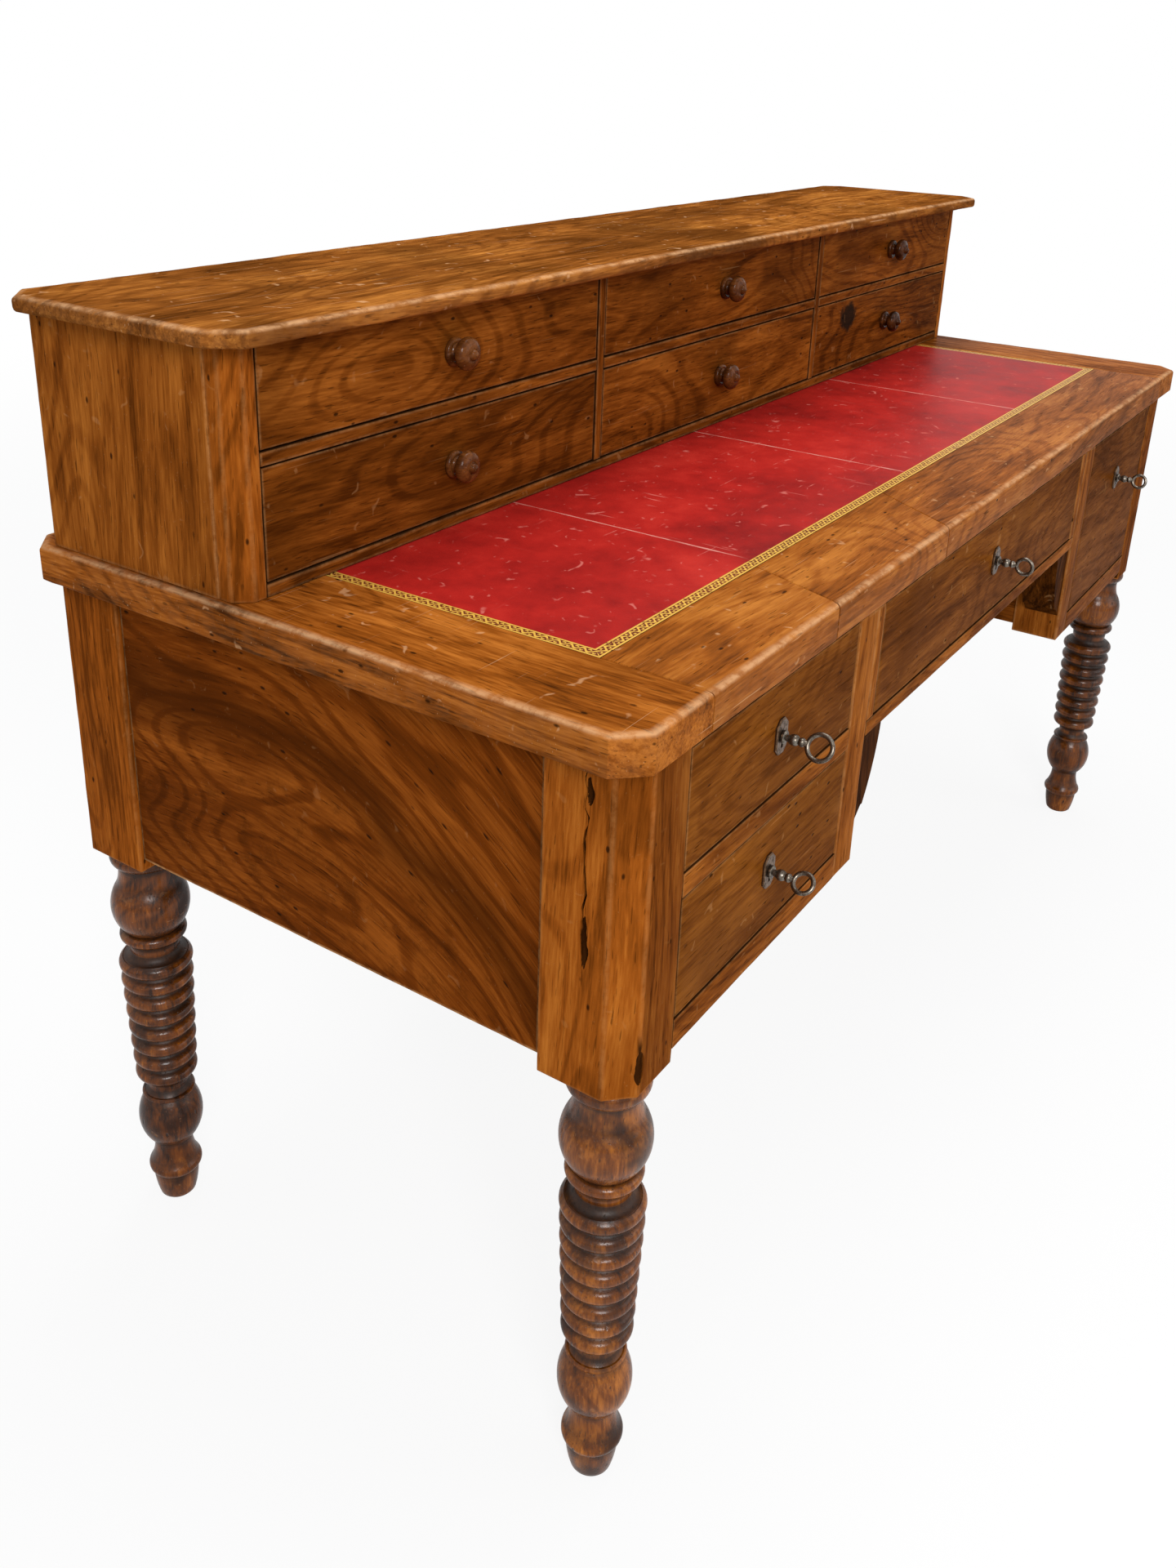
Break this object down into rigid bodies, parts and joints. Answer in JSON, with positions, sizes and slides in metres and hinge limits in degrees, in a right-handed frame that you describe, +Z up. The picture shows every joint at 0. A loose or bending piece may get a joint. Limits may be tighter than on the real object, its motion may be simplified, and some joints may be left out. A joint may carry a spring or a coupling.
{
  "type": "library desk",
  "caption": "Walnut library desk with a leather writing surface, kneehole, locking drawers with ring keys, turned legs and a raised gallery of small knobbed drawers at the back.",
  "frame": {"origin": "on the floor under the middle of the outline: half-way across the width, and half-way from the tip of the foremost key to the back edge of the writing top", "axes": "+X to the right as the sitter sees it, +Y to the back, +Z up"},
  "size_m": [1.628, 0.692, 0.997],
  "materials": {
    "walnut": "worn wax polish",
    "turned_walnut": "glossy wax polish",
    "drawer_lining": "raw, aged",
    "leather": "scuffed, gold tooled",
    "lock_metal": "dark patina",
    "key_steel": "handled, dull",
    "knob_wood": "glossy, dark"
  },
  "bodies": {
    "desk": {"back_panel": "drawer_lining", "drawer_runners": "drawer_lining", "front_rails": "walnut", "gallery_back": "drawer_lining", "gallery_base": "walnut", "gallery_partitions": "walnut", "gallery_sides": "walnut", "gallery_stiles": "walnut", "gallery_top": "walnut", "kneehole_brackets": "walnut", "kneehole_cheeks": "walnut", "kneehole_posts": "walnut", "leather_sheet": "leather", "leg_front_left": "turned_walnut", "leg_front_right": "turned_walnut", "leg_rear_left": "turned_walnut", "leg_rear_right": "turned_walnut", "side_panels": "walnut", "top_back_board": "walnut", "top_core_panel": "drawer_lining", "top_end_cleats": "walnut", "top_front_board": "walnut"},
    "drawer_upper_left": {"drawer_front_upper_left": "walnut", "drawer_box_upper_left": "drawer_lining", "lock_upper_left": "lock_metal"},
    "key_upper_left": {"key_upper_left": "key_steel"},
    "bolt_upper_left": {"lock_bolt_upper_left": "lock_metal"},
    "drawer_lower_left": {"drawer_front_lower_left": "walnut", "drawer_box_lower_left": "drawer_lining", "lock_lower_left": "lock_metal"},
    "key_lower_left": {"key_lower_left": "key_steel"},
    "bolt_lower_left": {"lock_bolt_lower_left": "lock_metal"},
    "drawer_centre": {"drawer_front_centre": "walnut", "drawer_box_centre": "drawer_lining", "lock_centre": "lock_metal"},
    "key_centre": {"key_centre": "key_steel"},
    "bolt_centre": {"lock_bolt_centre": "lock_metal"},
    "drawer_right": {"drawer_front_right": "walnut", "drawer_box_right": "drawer_lining", "lock_right": "lock_metal"},
    "key_right": {"key_right": "key_steel"},
    "bolt_right": {"lock_bolt_right": "lock_metal"},
    "gallery_drawer_lower_left": {"gallery_front_lower_left": "walnut", "gallery_box_lower_left": "drawer_lining", "gallery_knob_lower_left": "knob_wood"},
    "gallery_drawer_lower_middle": {"gallery_front_lower_middle": "walnut", "gallery_box_lower_middle": "drawer_lining", "gallery_knob_lower_middle": "knob_wood"},
    "gallery_drawer_lower_right": {"gallery_front_lower_right": "walnut", "gallery_box_lower_right": "drawer_lining", "gallery_knob_lower_right": "knob_wood"},
    "gallery_drawer_upper_left": {"gallery_front_upper_left": "walnut", "gallery_box_upper_left": "drawer_lining", "gallery_knob_upper_left": "knob_wood"},
    "gallery_drawer_upper_middle": {"gallery_front_upper_middle": "walnut", "gallery_box_upper_middle": "drawer_lining", "gallery_knob_upper_middle": "knob_wood"},
    "gallery_drawer_upper_right": {"gallery_front_upper_right": "walnut", "gallery_box_upper_right": "drawer_lining", "gallery_knob_upper_right": "knob_wood"}
  },
  "joints": [
    {"name": "drawer_upper_left_slide", "type": "slide", "parent": "desk", "child": "drawer_upper_left", "axis": [0, -1, 0], "range_m": [0, 0.36]},
    {"name": "key_upper_left_turn", "type": "hinge", "parent": "drawer_upper_left", "child": "key_upper_left", "pos_m": [-0.5455, -0.298, 0.6728], "axis": [0, 1, 0], "range_deg": [0, 185]},
    {"name": "bolt_upper_left_throw", "type": "slide", "parent": "drawer_upper_left", "child": "bolt_upper_left", "axis": [0, 0, 1], "range_m": [0, 0.00691]},
    {"name": "drawer_lower_left_slide", "type": "slide", "parent": "desk", "child": "drawer_lower_left", "axis": [0, -1, 0], "range_m": [0, 0.36]},
    {"name": "key_lower_left_turn", "type": "hinge", "parent": "drawer_lower_left", "child": "key_lower_left", "pos_m": [-0.5455, -0.298, 0.5428], "axis": [0, 1, 0], "range_deg": [0, 185]},
    {"name": "bolt_lower_left_throw", "type": "slide", "parent": "drawer_lower_left", "child": "bolt_lower_left", "axis": [0, 0, 1], "range_m": [0, 0.00691]},
    {"name": "drawer_centre_slide", "type": "slide", "parent": "desk", "child": "drawer_centre", "axis": [0, -1, 0], "range_m": [0, 0.36]},
    {"name": "key_centre_turn", "type": "hinge", "parent": "drawer_centre", "child": "key_centre", "pos_m": [0, -0.298, 0.6728], "axis": [0, 1, 0], "range_deg": [0, 185]},
    {"name": "bolt_centre_throw", "type": "slide", "parent": "drawer_centre", "child": "bolt_centre", "axis": [0, 0, 1], "range_m": [0, 0.00691]},
    {"name": "drawer_right_slide", "type": "slide", "parent": "desk", "child": "drawer_right", "axis": [0, -1, 0], "range_m": [0, 0.36]},
    {"name": "key_right_turn", "type": "hinge", "parent": "drawer_right", "child": "key_right", "pos_m": [0.5455, -0.298, 0.6468], "axis": [0, 1, 0], "range_deg": [0, 185]},
    {"name": "bolt_right_throw", "type": "slide", "parent": "drawer_right", "child": "bolt_right", "axis": [0, 0, 1], "range_m": [0, 0.00691]},
    {"name": "gallery_drawer_lower_left_slide", "type": "slide", "parent": "desk", "child": "gallery_drawer_lower_left", "axis": [0, -1, 0], "range_m": [0, 0.14]},
    {"name": "gallery_drawer_lower_middle_slide", "type": "slide", "parent": "desk", "child": "gallery_drawer_lower_middle", "axis": [0, -1, 0], "range_m": [0, 0.14]},
    {"name": "gallery_drawer_lower_right_slide", "type": "slide", "parent": "desk", "child": "gallery_drawer_lower_right", "axis": [0, -1, 0], "range_m": [0, 0.14]},
    {"name": "gallery_drawer_upper_left_slide", "type": "slide", "parent": "desk", "child": "gallery_drawer_upper_left", "axis": [0, -1, 0], "range_m": [0, 0.14]},
    {"name": "gallery_drawer_upper_middle_slide", "type": "slide", "parent": "desk", "child": "gallery_drawer_upper_middle", "axis": [0, -1, 0], "range_m": [0, 0.14]},
    {"name": "gallery_drawer_upper_right_slide", "type": "slide", "parent": "desk", "child": "gallery_drawer_upper_right", "axis": [0, -1, 0], "range_m": [0, 0.14]}
  ],
  "couplings": [
    {"joint": "key_upper_left_turn", "follows": "bolt_upper_left_throw", "rad_per_m": 454.55},
    {"joint": "key_lower_left_turn", "follows": "bolt_lower_left_throw", "rad_per_m": 454.55},
    {"joint": "key_centre_turn", "follows": "bolt_centre_throw", "rad_per_m": 454.55},
    {"joint": "key_right_turn", "follows": "bolt_right_throw", "rad_per_m": 454.55}
  ]
}
